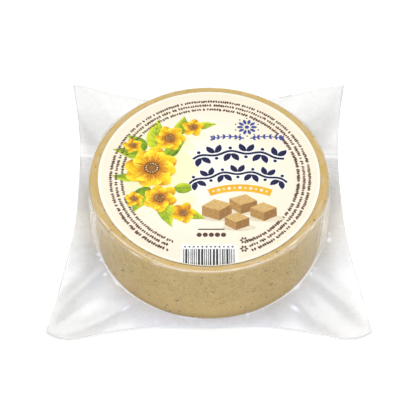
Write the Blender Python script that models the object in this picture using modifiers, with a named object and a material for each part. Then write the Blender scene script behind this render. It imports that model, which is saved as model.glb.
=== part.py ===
"""A round block of sesame halva in a clear film pouch, with a round label on top.

Units are metres and +Z is up. The origin is the centre of the block's footprint, on
the surface that the pack lies on. The front of the pack faces -Y.
"""
from math import atan2, cos, degrees, exp, hypot, pi, radians, sin

import bmesh
import bpy
from mathutils import Vector

MM = 0.001

# Halva block: a pressed disc, a little narrower at its base, with rounded edges
BLOCK_TOP_RADIUS = 55.0 * MM
BLOCK_BASE_RADIUS = 54.2 * MM
BLOCK_HEIGHT = 37.4 * MM
RIM_ROUNDING = 1.4 * MM
BASE_ROUNDING = 0.8 * MM
BLOCK_RELIEF = 0.5 * MM
RELIEF_SIZE = 5.0 * MM
BLOCK_STEPS = 112
BLOCK_SIDE_ROWS = 9

# Film pouch: two sheets welded at their edges, with the air drawn out
FILM = 0.4 * MM
GAP = 0.3 * MM
LABEL_HOLE_RADIUS = 46.0 * MM
BASE_FLAT_RADIUS = 53.8 * MM
BASE_TURN = (54.85 * MM, 0.85 * MM)
FLOOR_CLEARANCE = 0.05 * MM
SIDE_STEPS = 22

# Where the upper sheet comes down the halva's side to the flat ears
FOOT_RADIUS = 55.3 * MM
FOOT_HEIGHT = 1.6 * MM
EDGE_LIFT_SHARE = 0.25

# Tents, where the upper sheet stands off the halva's side: direction and half width in degrees,
# and how far each stands off, as a share
TENTS = ((187.0, 18.0, 0.45), (351.0, 18.0, 0.6), (33.0, 20.0, 1.0), (147.0, 20.0, 1.0))
TENT_SPREAD = 3.6 * MM
TENT_HEIGHT = 3.0 * MM
TENT_BULGE = 0.8 * MM
STEEPEST_LEAVE = radians(90.0)
TENT_LEAVE = radians(60.0)

# Soft valleys of the ears: direction at the foot and at the edge, width in degrees, and depth
EAR_VALLEYS = (
    (208.0, 217.0, 6.0, 1.0), (233.0, 225.0, 5.0, 1.0), (327.0, 322.0, 6.0, 1.0),
    (314.0, 310.5, 5.0, 1.0), (143.0, 137.0, 7.0, 0.8), (46.0, 46.0, 7.0, 1.0),
)
FOLD_RISE = 0.9 * MM
FOLD_DEPTH = 2.3 * MM
FOLD_REACH = (62.0 * MM, 84.0 * MM)
FOLD_FADE = 0.85
EAR_FRACTIONS = (0.2, 0.45, 0.72, 1.0)
UNDER_POINTS = len(EAR_FRACTIONS) + 3

# Label: a thin disc stuck on the upper sheet
LABEL_RADIUS = 51.2 * MM
LABEL_THICKNESS = 0.3 * MM
LABEL_STEPS = 112

# Weld line of the pouch, corner to corner and counterclockwise: x, y and height in mm
FRONT_LEFT = (-74.3, -62.7, 2.6)
FRONT_RIGHT = (74.2, -62.7, 2.6)
BACK_RIGHT = (69.6, 77.7, 16.0)
BACK_LEFT = (-69.8, 77.5, 16.0)
FRONT_EDGE = (
    FRONT_LEFT, (-68.5, -65.2, 2.0), (-62.0, -65.7, 1.7), (-45.0, -62.2, 1.6),
    (-36.0, -60.6, 1.7), (-26.0, -58.8, 1.8), (0.0, -59.2, 1.6), (24.0, -58.4, 1.8),
    (41.3, -61.5, 1.6), (52.5, -63.4, 1.6), (61.0, -65.6, 1.7), (68.5, -65.3, 2.0), FRONT_RIGHT,
)
RIGHT_EDGE = (
    FRONT_RIGHT, (71.4, -45.8, 3.0), (68.3, -29.6, 4.0), (66.1, -16.0, 4.9), (64.8, -1.8, 6.0),
    (64.2, 34.5, 7.0), (66.0, 57.2, 11.0), BACK_RIGHT,
)
BACK_EDGE = (
    BACK_RIGHT, (57.0, 75.3, 15.0), (46.6, 72.8, 14.0), (32.2, 70.6, 12.0), (0.0, 64.5, 10.0),
    (-31.2, 69.9, 12.0), (-45.5, 71.2, 14.0), (-61.0, 76.0, 15.0), BACK_LEFT,
)
LEFT_EDGE = (
    BACK_LEFT, (-65.4, 51.5, 10.5), (-64.0, 30.0, 7.5), (-64.0, 3.8, 6.0),
    (-64.9, -10.6, 5.0), (-67.9, -29.8, 4.0), (-70.8, -45.8, 3.0), FRONT_LEFT,
)

# Heights of the layers, from the floor up
BLOCK_BASE_Z = FILM + GAP
BLOCK_TOP_Z = BLOCK_BASE_Z + BLOCK_HEIGHT
FILM_UNDER_Z = BLOCK_TOP_Z + GAP
FILM_TOP_Z = FILM_UNDER_Z + FILM
LABEL_Z = FILM_TOP_Z + GAP


def clear_scene():
    """Remove what a new file holds."""
    for old in list(bpy.data.objects):
        bpy.data.objects.remove(old, do_unlink=True)


def smooth_step(low, high, value):
    """0 below low, 1 above high, and a smooth rise between them."""
    share = min(max((value - low) / (high - low), 0.0), 1.0)
    return share * share * (3.0 - 2.0 * share)


def between(start, end, share):
    return start + (end - start) * share


def material(name, colour, roughness, alpha=1.0):
    """A Principled material; colour is linear RGB."""
    made = bpy.data.materials.new(name)
    made.use_nodes = True
    shader = made.node_tree.nodes["Principled BSDF"]
    shader.inputs["Base Color"].default_value = (*colour, 1.0)
    shader.inputs["Roughness"].default_value = roughness
    shader.inputs["Metallic"].default_value = 0.0
    shader.inputs["Alpha"].default_value = alpha
    made.diffuse_color = (*colour, alpha)
    return made


def add_object(name, mesh, finish, parent, collection):
    """Put a mesh in the pack's collection under its parent, shaded smooth."""
    made = bpy.data.objects.new(name, mesh)
    collection.objects.link(made)
    mesh.materials.append(finish)
    mesh.shade_smooth()
    mesh.set_sharp_from_angle(angle=radians(40.0))
    made.parent = parent
    return made


def arc(centre_r, centre_z, radius, start, end, steps):
    """Points of a round stretch; the angle is measured from straight up, outwards."""
    points = []
    for step in range(steps + 1):
        angle = between(start, end, step / steps)
        points.append((centre_r + radius * sin(angle), centre_z + radius * cos(angle)))
    return points


def block_wall_radius(height):
    """Radius of the halva's side at a height above the floor."""
    share = (height - BLOCK_BASE_Z) / BLOCK_HEIGHT
    return between(BLOCK_BASE_RADIUS, BLOCK_TOP_RADIUS, min(max(share, 0.0), 1.0))


def block_profile():
    """The halva's half section, from the axis at the top down its side to the axis."""
    rim_z = BLOCK_HEIGHT - RIM_ROUNDING
    points = [(0.0, BLOCK_HEIGHT), (LABEL_HOLE_RADIUS, BLOCK_HEIGHT)]
    points += arc(BLOCK_TOP_RADIUS - RIM_ROUNDING, rim_z, RIM_ROUNDING, 0.0, pi / 2, 4)
    for row in range(1, BLOCK_SIDE_ROWS):
        height = between(rim_z, BASE_ROUNDING, row / BLOCK_SIDE_ROWS)
        points.append((block_wall_radius(height + BLOCK_BASE_Z), height))
    points += arc(BLOCK_BASE_RADIUS - BASE_ROUNDING, BASE_ROUNDING, BASE_ROUNDING, pi / 2, pi, 2)
    points.append((0.0, 0.0))
    return points


def make_halva_block(parent, collection):
    """A turned disc whose surface has the shallow dents of pressed halva."""
    mesh = bpy.data.meshes.new("halva_block")
    profile = block_profile()
    edges = [(index, index + 1) for index in range(len(profile) - 1)]
    mesh.from_pydata([(radius, 0.0, height) for radius, height in profile], edges, [])
    finish = material("halva", (0.60, 0.44, 0.18), 0.7)
    block = add_object("halva_block", mesh, finish, parent, collection)
    block.location = (0.0, 0.0, BLOCK_BASE_Z)

    turn = block.modifiers.new("turn", "SCREW")
    turn.axis = "Z"
    turn.angle = 2.0 * pi
    turn.steps = BLOCK_STEPS
    turn.render_steps = BLOCK_STEPS
    turn.use_merge_vertices = True
    turn.merge_threshold = 0.00001
    turn.use_smooth_shade = True

    grain = bpy.data.textures.new("halva_dents", "CLOUDS")
    grain.noise_scale = RELIEF_SIZE
    grain.noise_depth = 1
    dents = block.modifiers.new("dents", "DISPLACE")
    dents.texture = grain
    dents.texture_coords = "LOCAL"
    dents.mid_level = 1.0
    dents.strength = BLOCK_RELIEF
    return block


def smooth_through(points, share):
    """Point of a smooth curve through a row of points, by share of its chord length."""
    spots = [Vector(point) * MM for point in points]
    marks = [0.0]
    for first, second in zip(spots, spots[1:]):
        marks.append(marks[-1] + (second - first).length)
    target = share * marks[-1]
    last = len(spots) - 1
    index = 0
    while index < last - 1 and marks[index + 1] < target:
        index += 1

    def slope(at):
        low = max(at - 1, 0)
        high = min(at + 1, last)
        return (spots[high] - spots[low]) / (marks[high] - marks[low])

    span = marks[index + 1] - marks[index]
    local = (target - marks[index]) / span
    square = local * local
    cube = square * local
    return (
        spots[index] * (2.0 * cube - 3.0 * square + 1.0)
        + slope(index) * span * (cube - 2.0 * square + local)
        + spots[index + 1] * (3.0 * square - 2.0 * cube)
        + slope(index + 1) * span * (cube - square)
    )


def weld_line():
    """Points round the pouch's edge, closest together at its corners."""
    points = []
    for edge in (FRONT_EDGE, RIGHT_EDGE, BACK_EDGE, LEFT_EDGE):
        for step in range(SIDE_STEPS):
            share = 0.5 - 0.5 * cos(pi * step / SIDE_STEPS)
            points.append(smooth_through(edge, share))
    return points


def turn_from(direction, angle):
    """Degrees from a direction in degrees to an angle in radians, from -180 to 180."""
    return (degrees(angle) - direction + 180.0) % 360.0 - 180.0


def tent_share(angle):
    """1 in the middle of a tent, and 0 where the film lies on the halva's side."""
    return max(
        size * (1.0 - smooth_step(0.0, half, abs(turn_from(way, angle)))) for way, half, size in TENTS
    )


def fold_height(angle, edge_radius, share):
    """Rise and fall of an ear between its valleys, from the foot (0) to the edge (1)."""
    valley = 0.0
    for foot_way, edge_way, width, depth in EAR_VALLEYS:
        turn = turn_from(between(foot_way, edge_way, share), angle) / width
        valley += depth * exp(-turn * turn)
    reach = smooth_step(*FOLD_REACH, edge_radius)
    return (FOLD_RISE - FOLD_DEPTH * min(valley, 1.0)) * reach * sin(pi * FOLD_FADE * share)


def film_section(edge_point):
    """The pouch's half section towards one point of its edge, as radius and height.

    It runs from the edge of the flat underside, up the halva's side to the ear, out along
    the ear and back, over the halva to the label's hole, and back inside along the halva
    to the middle of the floor.
    """
    edge_radius = hypot(edge_point.x, edge_point.y)
    angle = atan2(edge_point.y, edge_point.x)
    tent = tent_share(angle)
    foot_radius = FOOT_RADIUS + TENT_SPREAD * tent
    foot_z = FOOT_HEIGHT + TENT_HEIGHT * tent + EDGE_LIFT_SHARE * edge_point.z

    ear = [(foot_radius, foot_z)]
    for share in EAR_FRACTIONS:
        height = between(foot_z, edge_point.z, share) + fold_height(angle, edge_radius, share)
        height = max(height, FILM + FLOOR_CLEARANCE)
        ear.append((between(foot_radius, edge_radius, share), height))
    ear_under = [(radius, height - FILM) for radius, height in ear]

    rim_r = BLOCK_TOP_RADIUS - RIM_ROUNDING
    rim_z = BLOCK_TOP_Z - RIM_ROUNDING
    leave = between(STEEPEST_LEAVE, TENT_LEAVE, tent)
    over_rim = arc(rim_r, rim_z, RIM_ROUNDING + GAP + FILM, 0.0, leave, 2)
    wall = []
    for share in (1.0 / 3.0, 2.0 / 3.0):
        radius = between(over_rim[-1][0], foot_radius, share) + TENT_BULGE * tent
        height = between(over_rim[-1][1], foot_z, share)
        wall.append((max(radius, block_wall_radius(height) + GAP + FILM), height))

    pocket = arc(rim_r, rim_z, RIM_ROUNDING + GAP, 0.0, pi / 2, 3)
    pocket_base = BLOCK_BASE_RADIUS + GAP
    chamfer = BASE_ROUNDING - FILM / 2

    section = [(BASE_FLAT_RADIUS, 0.0), BASE_TURN]
    section += ear_under
    section += reversed(ear)
    section += reversed(wall)
    section += reversed(over_rim)
    section.append((LABEL_HOLE_RADIUS, FILM_TOP_Z))
    section.append((LABEL_HOLE_RADIUS, FILM_UNDER_Z))
    section += pocket
    section.append((pocket_base, FILM + chamfer))
    section.append((pocket_base - chamfer, FILM))
    return section


def make_film_pouch(parent, collection):
    """Loft the changing half sections round the pack and close both middles.

    An ear's two faces are split into triangles alike, so that they never cross.
    """
    shape = bmesh.new()
    rows = []
    for edge_point in weld_line():
        angle = atan2(edge_point.y, edge_point.x)
        row = []
        for radius, height in film_section(edge_point):
            row.append(shape.verts.new((radius * cos(angle), radius * sin(angle), height)))
        rows.append(row)
    underside = shape.verts.new((0.0, 0.0, 0.0))
    floor = shape.verts.new((0.0, 0.0, FILM))
    for row, following in zip(rows, rows[1:] + rows[:1]):
        for index in range(len(row) - 1):
            here, ahead = row[index], row[index + 1]
            across, beyond = following[index], following[index + 1]
            if index < UNDER_POINTS:
                shape.faces.new((here, across, ahead))
                shape.faces.new((across, beyond, ahead))
            else:
                shape.faces.new((here, across, beyond))
                shape.faces.new((here, beyond, ahead))
        shape.faces.new((underside, following[0], row[0]))
        shape.faces.new((floor, row[-1], following[-1]))
    bmesh.ops.recalc_face_normals(shape, faces=shape.faces)
    mesh = bpy.data.meshes.new("film_pouch")
    shape.to_mesh(mesh)
    shape.free()
    finish = material("clear_film", (0.86, 0.86, 0.84), 0.25, alpha=0.35)
    return add_object("film_pouch", mesh, finish, parent, collection)


def make_label(parent, collection):
    """The round label, a thin disc over the middle of the pouch."""
    shape = bmesh.new()
    bmesh.ops.create_cone(
        shape,
        cap_ends=True,
        segments=LABEL_STEPS,
        radius1=LABEL_RADIUS,
        radius2=LABEL_RADIUS,
        depth=LABEL_THICKNESS,
    )
    mesh = bpy.data.meshes.new("label")
    shape.to_mesh(mesh)
    shape.free()
    finish = material("label_paper", (0.95, 0.88, 0.72), 0.45)
    label = add_object("label", mesh, finish, parent, collection)
    label.location = (0.0, 0.0, LABEL_Z + LABEL_THICKNESS / 2)
    return label


def main():
    clear_scene()
    collection = bpy.data.collections.new("sesame_halva_pack")
    bpy.context.scene.collection.children.link(collection)
    pack = bpy.data.objects.new("pack_origin", None)
    collection.objects.link(pack)
    make_halva_block(pack, collection)
    make_film_pouch(pack, collection)
    make_label(pack, collection)


main()
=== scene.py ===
"""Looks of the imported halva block: pressed halva, clear film pouch and printed label."""
import random
from math import atan2, cos, degrees, exp, hypot, pi, radians, sin

import bmesh
import bpy
import numpy as np
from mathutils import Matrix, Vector, noise


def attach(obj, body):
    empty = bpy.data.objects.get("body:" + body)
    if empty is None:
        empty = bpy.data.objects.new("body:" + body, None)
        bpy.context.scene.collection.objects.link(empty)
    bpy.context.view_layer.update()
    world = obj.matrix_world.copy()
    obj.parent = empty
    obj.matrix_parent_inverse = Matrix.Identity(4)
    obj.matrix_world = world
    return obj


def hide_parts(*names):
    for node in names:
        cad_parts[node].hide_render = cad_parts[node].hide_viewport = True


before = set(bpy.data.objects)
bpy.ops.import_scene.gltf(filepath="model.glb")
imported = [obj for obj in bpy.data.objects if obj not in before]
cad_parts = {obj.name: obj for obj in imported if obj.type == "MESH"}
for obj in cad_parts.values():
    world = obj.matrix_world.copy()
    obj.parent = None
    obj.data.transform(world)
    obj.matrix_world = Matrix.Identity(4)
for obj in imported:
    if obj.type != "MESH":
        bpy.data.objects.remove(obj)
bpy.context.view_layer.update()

MM = 0.001
BODY = "root"

# Camera: it looks at the pack's middle from the front and above
CAMERA_DISTANCE = 600.0 * MM
CAMERA_ELEVATION = radians(52.8)
CAMERA_RIGHT = -0.71 * MM
CAMERA_UP = 8.06 * MM
CAMERA_LENS = 107.13

# Soft lights: name, place, size and power
LIGHTS = (
    ("overhead_box", (0.0, 0.12, 0.75), (0.6, 0.5), 3.2),
    ("front_box", (0.0, -0.8, 0.4), (0.6, 0.35), 0.9),
    ("left_strip", (-0.6, 0.05, 0.35), (0.12, 0.5), 0.8),
    ("right_strip", (0.6, 0.1, 0.35), (0.12, 0.5), 0.8),
)
LIGHT_AIM = Vector((0.0, 0.0, 0.02))
WORLD_LIGHT = 0.48

# Halva block
BLOCK_TOP_RADIUS = 55.3 * MM
BLOCK_BASE_RADIUS = 54.5 * MM
BLOCK_BASE_Z = 0.3 * MM
BLOCK_TOP_Z = 38.4 * MM
RIM_ROUNDING = 1.5 * MM
BASE_ROUNDING = 0.8 * MM
BLOCK_COLUMNS = 640
BLOCK_SIDE_ROWS = 60
BASE_RADII = (12, 24, 34, 42, 47, 50)
TOP_RADII = (53.3, 52.8, 52.3, 51.8, 51.3, 50.5, 49, 46, 40, 30, 15)

# Specks of the halva: noise scale, the values where they begin and are full, and tone
SPECKS = ((520.0, 0.765, 0.79, (0.16, 0.11, 0.055)), (560.0, 0.78, 0.80, (0.50, 0.22, 0.07)))

# Film
FRONT = 270.0
FILM_OFFSET = 0.2 * MM
FILM_TOP_Z = BLOCK_TOP_Z + FILM_OFFSET
SHEET_GAP = 0.3 * MM
SIDE_STEPS = 220
EAR_ROWS = 22
WALL_ROWS = 28
RIM_DOWN = 5.1
RIM_STEPS = 9
LABEL_EDGE = 51.3
FILM_TOP_RADII = (53.6, 53.2, 52.8, 52.4, 52.0, 51.6, 51.2)
BASE_FLAT_RADIUS = 53.8 * MM
BASE_TURN = (54.85 * MM, 0.85 * MM)
FOOT_RADIUS = 55.3 * MM
FOOT_HEIGHT = 1.6 * MM
EDGE_LIFT_SHARE = 0.25
FLOOR_CLEARANCE = 0.05 * MM

# Tents, where the upper sheet stands off the halva's side: direction and half width in degrees,
# and how far each stands off, as a share
TENTS = ((187.0, 18.0, 0.45), (351.0, 18.0, 0.60), (33.0, 20.0, 1.0), (147.0, 20.0, 1.0))
TENT_SPREAD = 3.6 * MM
TENT_HEIGHT = 3.0 * MM
TENT_BULGE = 0.8 * MM
STEEPEST_LEAVE = radians(90.0)
TENT_LEAVE = radians(60.0)

# Soft valleys of the ears: direction at the foot and at the edge, width in degrees, and depth
EAR_VALLEYS = (
    (208.0, 217.0, 6.0, 1.0), (233.0, 225.0, 5.0, 1.0), (327.0, 322.0, 6.0, 1.0),
    (314.0, 310.5, 5.0, 1.0), (143.0, 137.0, 7.0, 0.8), (46.0, 46.0, 7.0, 1.0),
)
FOLD_RISE = 0.9 * MM
FOLD_DEPTH = 2.3 * MM
FOLD_REACH = (62.0 * MM, 84.0 * MM)
FOLD_FADE = 0.85

# Painted shade of the ears beside the block, painted light where below zero: direction in degrees and share
FOOT_SHADE = (
    (0.0, 0.03), (28.0, 0.18), (34.0, 0.12), (60.0, 0.12), (90.0, 0.08), (120.0, 0.08),
    (146.0, 0.12), (152.0, 0.17), (180.0, 0.05), (196.0, 0.04), (205.0, 0.06), (218.0, -0.14),
    (235.0, -0.12), (250.0, -0.02), (270.0, 0.0), (290.0, 0.03), (300.0, 0.02), (310.0, -0.12),
    (325.0, -0.12), (340.0, -0.02), (350.0, 0.02), (360.0, 0.03),
)
FOOT_SHADE_REACH = 16.0

# A soft shade behind the block: direction and half width in degrees, and how much darker
REAR_SHADE = (54.0, 12.0, 0.35)
REAR_SHADE_REACH = (14.0, 22.0)

# The ears' painted light and milk, the painted light that the front adds, and a pucker's painted glint: the
# height where it is full, its light and its milk
EAR_LIGHT = 0.80
EAR_MILK = 0.32
FRONT_LIGHT = 0.17
FRONT_REACH = (18.0, 42.0)
PUCKER_FULL = 0.35
PUCKER_LIGHT = 1.2
PUCKER_MILK = 0.85

# Folds of the ears by shade alone: direction and half width in degrees, the share of the way out
# where each begins, and how much darker it is
SHADE_FOLDS = (
    (46.6, 2.5, 0.0, 0.11), (138.0, 3.5, 0.0, 0.06), (320.5, 4.5, 0.75, -0.07),
    (221.0, 8.0, 0.05, -0.06), (218.0, 9.0, 0.60, 0.10), (330.0, 6.0, 0.05, -0.03),
)

# A crease straight across both sides of the pouch
CREASE_Y = 36.3 * MM
CREASE_WIDTH = 0.9 * MM

# Painted light of the ears towards the back, painted shade where below zero: Y in mm, light on the left and
# on the right
BACK_LIGHT = (
    (-16.0, 0.0, 0.0), (-8.0, 0.07, 0.04), (0.0, 0.09, 0.06), (8.0, -0.04, -0.04), (20.0, -0.18, -0.18),
    (35.0, -0.26, -0.26), (36.6, 0.03, 0.0), (39.0, 0.04, -0.04), (41.5, 0.05, -0.12),
    (44.0, -0.06, 0.0), (50.0, -0.10, 0.01), (62.0, -0.09, -0.08), (80.0, -0.14, -0.13),
)

# Pale creases of the film along the halva's rim and down its side: milk, width in mm, and a
# line of directions in degrees and distances in mm down the film from the label's edge
CREASES = (
    (0.50, 0.50, (
        (188.0, 22.0), (194.0, 14.0), (199.0, 9.0), (205.0, 6.3), (214.0, 5.0), (230.0, 4.2),
        (250.0, 3.4), (275.0, 2.9), (300.0, 3.3), (325.0, 4.2), (345.0, 5.2), (356.0, 9.0),
    )),
    (0.40, 0.45, ((192.0, 9.0), (200.0, 5.0), (210.0, 3.4), (226.0, 2.6), (248.0, 2.1))),
    (0.50, 0.55, ((194.0, 16.0), (202.0, 10.5), (212.0, 7.6), (230.0, 5.6))),
    (0.40, 0.60, ((186.0, 26.0), (194.0, 20.0), (202.0, 14.5), (210.0, 10.5))),
    (0.42, 0.45, ((298.0, 2.0), (318.0, 2.6), (332.0, 3.8), (346.0, 7.5))),
    (0.40, 0.60, ((314.0, 5.4), (330.0, 7.2), (344.0, 14.0))),
)

# Puckers at the ears' feet, each with a painted glint on its top: direction in degrees and its turn
# per mm outwards, width in degrees, distance from the foot, length and height in mm
PUCKERS = (
    (201.0, 0.0, 0.9, -0.4, 1.6, 0.40), (204.2, 0.0, 0.9, -0.4, 1.6, 0.36),
    (212.3, 0.0, 0.9, 1.2, 1.8, 0.40), (219.6, 0.0, 2.2, -0.3, 1.1, 0.45),
    (231.8, -0.27, 0.9, 5.0, 4.2, 0.30), (308.6, 0.27, 1.0, 5.4, 4.6, 0.36),
    (317.5, 0.0, 2.4, -0.4, 1.3, 0.45), (327.5, 0.0, 1.0, 0.6, 1.6, 0.34),
    (331.0, 0.0, 0.8, 0.9, 1.3, 0.28), (347.5, 0.0, 1.1, 0.3, 1.6, 0.40),
    (351.0, 0.0, 0.9, -0.3, 1.4, 0.32), (37.0, 0.0, 1.1, 2.0, 4.0, 0.22),
    (260.5, 0.0, 5.0, -0.4, 1.0, 0.26), (288.5, 0.0, 0.8, -0.3, 1.3, 0.40),
    (127.0, 0.0, 1.0, 3.0, 5.0, 0.18), (143.0, 0.0, 1.1, 2.0, 4.0, 0.22),
)

# Weld line of the pouch, corner to corner and counterclockwise: x, y and height in mm
FRONT_LEFT = (-74.3, -62.7, 2.6)
FRONT_RIGHT = (74.2, -62.7, 2.6)
BACK_RIGHT = (69.6, 77.7, 16.0)
BACK_LEFT = (-69.8, 77.5, 16.0)
FRONT_EDGE = (
    FRONT_LEFT, (-68.5, -65.2, 2.0), (-62.0, -65.7, 1.7), (-45.0, -62.2, 1.6),
    (-36.0, -60.6, 1.7), (-26.0, -58.8, 1.8), (0.0, -59.2, 1.6), (24.0, -58.4, 1.8),
    (41.3, -61.5, 1.6), (52.5, -63.4, 1.6), (61.0, -65.6, 1.7), (68.5, -65.3, 2.0), FRONT_RIGHT,
)
RIGHT_EDGE = (
    FRONT_RIGHT, (71.4, -45.8, 3.0), (68.3, -29.6, 4.0), (66.1, -16.0, 4.9), (64.8, -1.8, 6.0),
    (64.2, 34.5, 7.0), (66.0, 57.2, 11.0), BACK_RIGHT,
)
BACK_EDGE = (
    BACK_RIGHT, (57.0, 75.3, 15.0), (46.6, 72.8, 14.0), (32.2, 70.6, 12.0), (0.0, 64.5, 10.0),
    (-31.2, 69.9, 12.0), (-45.5, 71.2, 14.0), (-61.0, 76.0, 15.0), BACK_LEFT,
)
LEFT_EDGE = (
    BACK_LEFT, (-65.4, 51.5, 10.5), (-64.0, 30.0, 7.5), (-64.0, 3.8, 6.0),
    (-64.9, -10.6, 5.0), (-67.9, -29.8, 4.0), (-70.8, -45.8, 3.0), FRONT_LEFT,
)

# Label
LABEL_RADIUS = 51.2 * MM
LABEL_Z = FILM_TOP_Z + 0.05 * MM
LABEL_TOP = LABEL_Z + 0.2 * MM
LABEL_STEPS = 256
LABEL_BEVEL = 0.06 * MM
INK_LOW = LABEL_TOP - 0.02 * MM
INK_STEP = 0.05 * MM
PLATE_STEP = 0.0012 * MM
PLATE_CYCLE = 40

# Printed garland: x, y, heading in degrees, length, width, bend and tone of each leaf
GARLAND_LEAVES = (
    (-30.0, 14.0, 118.0, 13.0, 3.4, 0.5, 0.55), (-20.0, 10.0, 62.0, 13.0, 3.2, -0.5, 0.45),
    (-16.0, -8.0, 350.0, 11.0, 3.0, 0.6, 0.60),
    (-24.0, 14.0, 103.0, 20.0, 4.6, -0.5, 0.75), (-15.0, 24.0, 60.0, 12.0, 3.4, 0.5, 0.60),
    (-31.0, 10.0, 150.0, 15.0, 3.0, 0.4, 0.45), (-33.0, -2.0, 186.0, 12.0, 2.4, -0.4, 0.55),
    (-27.0, -8.0, 232.0, 16.0, 4.4, 0.4, 0.50), (-20.0, -14.0, 268.0, 17.0, 4.0, 0.5, 0.70),
    (-12.0, -20.0, 318.0, 12.0, 2.8, 0.5, 0.65), (-6.0, 28.0, 28.0, 10.0, 2.2, -0.5, 0.70),
)
# Blossoms: x, y, radius and petals in each whorl
BLOSSOMS = (
    (-7.5, 28.5, 5.6, 5), (-18.5, 21.5, 7.6, 6), (-34.0, -14.5, 4.6, 5), (-11.5, -22.5, 6.0, 5),
    (-35.5, 17.0, 4.8, 5), (-22.5, -14.0, 8.2, 6), (-26.5, 3.5, 12.6, 8),
)

# Printed vine: its arcs' centre, and each row's radius, ends in degrees, leaf pairs and size
VINE_CENTRE = (14.0, -44.0)
VINE_ROWS = ((57.0, 112.0, 68.5, 6, 1.42), (44.6, 121.0, 61.0, 7, 1.30))
ROSETTE_CENTRE = (18.0, 28.5)
ROSETTE_PETALS = 10

# Printed ribbon round the vine's centre: radius, and the ends in degrees of it and of its dots
RIBBON_RADIUS = 35.9
RIBBON_ENDS = (113.0, 66.5)
DOT_ENDS = (109.5, 70.0)

# Printed rings: radius, and the stretch in degrees where the seeds are bolder
RING_CENTRE = (0.5, -1.0)
RINGS = ((45.8, 195.0, 246.0), (43.3, 60.0, 62.0), (40.7, -66.0, 88.0))
RING_ENDS = (-66.0, 246.0)

# Printed cubes of halva: x, y, size and turn in radians
CUBES = (
    (15.5, -15.0, 9.0, 0.60), (3.5, -18.0, 9.6, 0.95), (24.5, -19.5, 8.4, 0.80), (12.5, -25.0, 7.8, 0.70),
)

# Inks from the lowest layer up: piece, ink and its colours from dark to pale
GARLAND_INKS = (
    ("label_leaves", "leaf_ink", ((0.045, 0.16, 0.010), (0.30, 0.44, 0.012), (0.66, 0.72, 0.03))),
    ("label_leaf_veins", "vein_ink", ((0.03, 0.12, 0.01), (0.14, 0.28, 0.02), (0.5, 0.6, 0.05))),
    ("label_petals", "petal_ink", ((0.62, 0.20, 0.008), (0.88, 0.58, 0.006), (0.93, 0.82, 0.05))),
    ("label_petal_lines", "line_ink", ((0.30, 0.08, 0.01), (0.62, 0.22, 0.01), (0.86, 0.45, 0.01))),
    ("label_centres", "centre_ink", ((0.11, 0.04, 0.012), (0.28, 0.11, 0.02), (0.46, 0.24, 0.05))),
    ("label_centre_grains", "grain_ink", ((0.50, 0.27, 0.06), (0.72, 0.50, 0.18), (0.85, 0.70, 0.35))),
)
# The same for the cubes: piece, ink, its colour and deeper colour, and the scale of its mottling
CUBE_INKS = (
    ("label_cube_shadows", "shadow_ink", (0.80, 0.72, 0.55), (0.72, 0.63, 0.46), 260.0),
    ("label_cube_right_sides", "cube_right_ink", (0.36, 0.19, 0.055), (0.27, 0.13, 0.04), 900.0),
    ("label_cube_left_sides", "cube_left_ink", (0.50, 0.29, 0.09), (0.38, 0.20, 0.06), 900.0),
    ("label_cube_tops", "cube_top_ink", (0.70, 0.48, 0.19), (0.58, 0.36, 0.12), 900.0),
)


def between(start, end, share):
    return start + (end - start) * share


def bell(value):
    """1 at zero, and less and less on both sides of it."""
    return exp(-value * value)


def eased_shares(steps):
    """Shares from 0 to 1, closest together at both ends."""
    return [0.5 - 0.5 * cos(pi * step / steps) for step in range(steps + 1)]


def smooth_step(low, high, value):
    share = min(max((value - low) / (high - low), 0.0), 1.0)
    return share * share * (3.0 - 2.0 * share)


def make_camera():
    data = bpy.data.cameras.new("camera")
    data.sensor_width = 36.0
    data.lens = CAMERA_LENS
    data.clip_start = 0.01
    camera = bpy.data.objects.new("camera", data)
    bpy.context.scene.collection.objects.link(camera)
    back = Vector((0.0, -cos(CAMERA_ELEVATION), sin(CAMERA_ELEVATION)))
    up = Vector((0.0, sin(CAMERA_ELEVATION), cos(CAMERA_ELEVATION)))
    camera.location = back * CAMERA_DISTANCE + Vector((CAMERA_RIGHT, 0.0, 0.0)) + up * CAMERA_UP
    camera.rotation_euler = (pi / 2 - CAMERA_ELEVATION, 0.0, 0.0)
    bpy.context.scene.camera = camera


def make_area_light(name, place, size, power):
    data = bpy.data.lights.new(name, "AREA")
    data.shape = "RECTANGLE"
    data.size, data.size_y = size
    data.energy = power
    light = bpy.data.objects.new(name, data)
    bpy.context.scene.collection.objects.link(light)
    light.location = place
    light.rotation_euler = (LIGHT_AIM - Vector(place)).to_track_quat("-Z", "Y").to_euler()


def make_studio():
    """A white floor, an even pale surround and soft lights."""
    world = bpy.data.worlds.new("studio")
    bpy.context.scene.world = world
    world.use_nodes = True
    background = world.node_tree.nodes["Background"]
    background.inputs["Color"].default_value = (1.0, 1.0, 1.0, 1.0)
    background.inputs["Strength"].default_value = WORLD_LIGHT
    bpy.context.scene.view_settings.view_transform = "Standard"
    bpy.context.scene.view_settings.look = "None"
    for light in LIGHTS:
        make_area_light(*light)

    bpy.ops.mesh.primitive_plane_add(size=6.0, location=(0.0, 0.0, -0.15 * MM))
    floor = bpy.context.object
    floor.name = "floor"
    floor.data.materials.append(floor_material())


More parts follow.
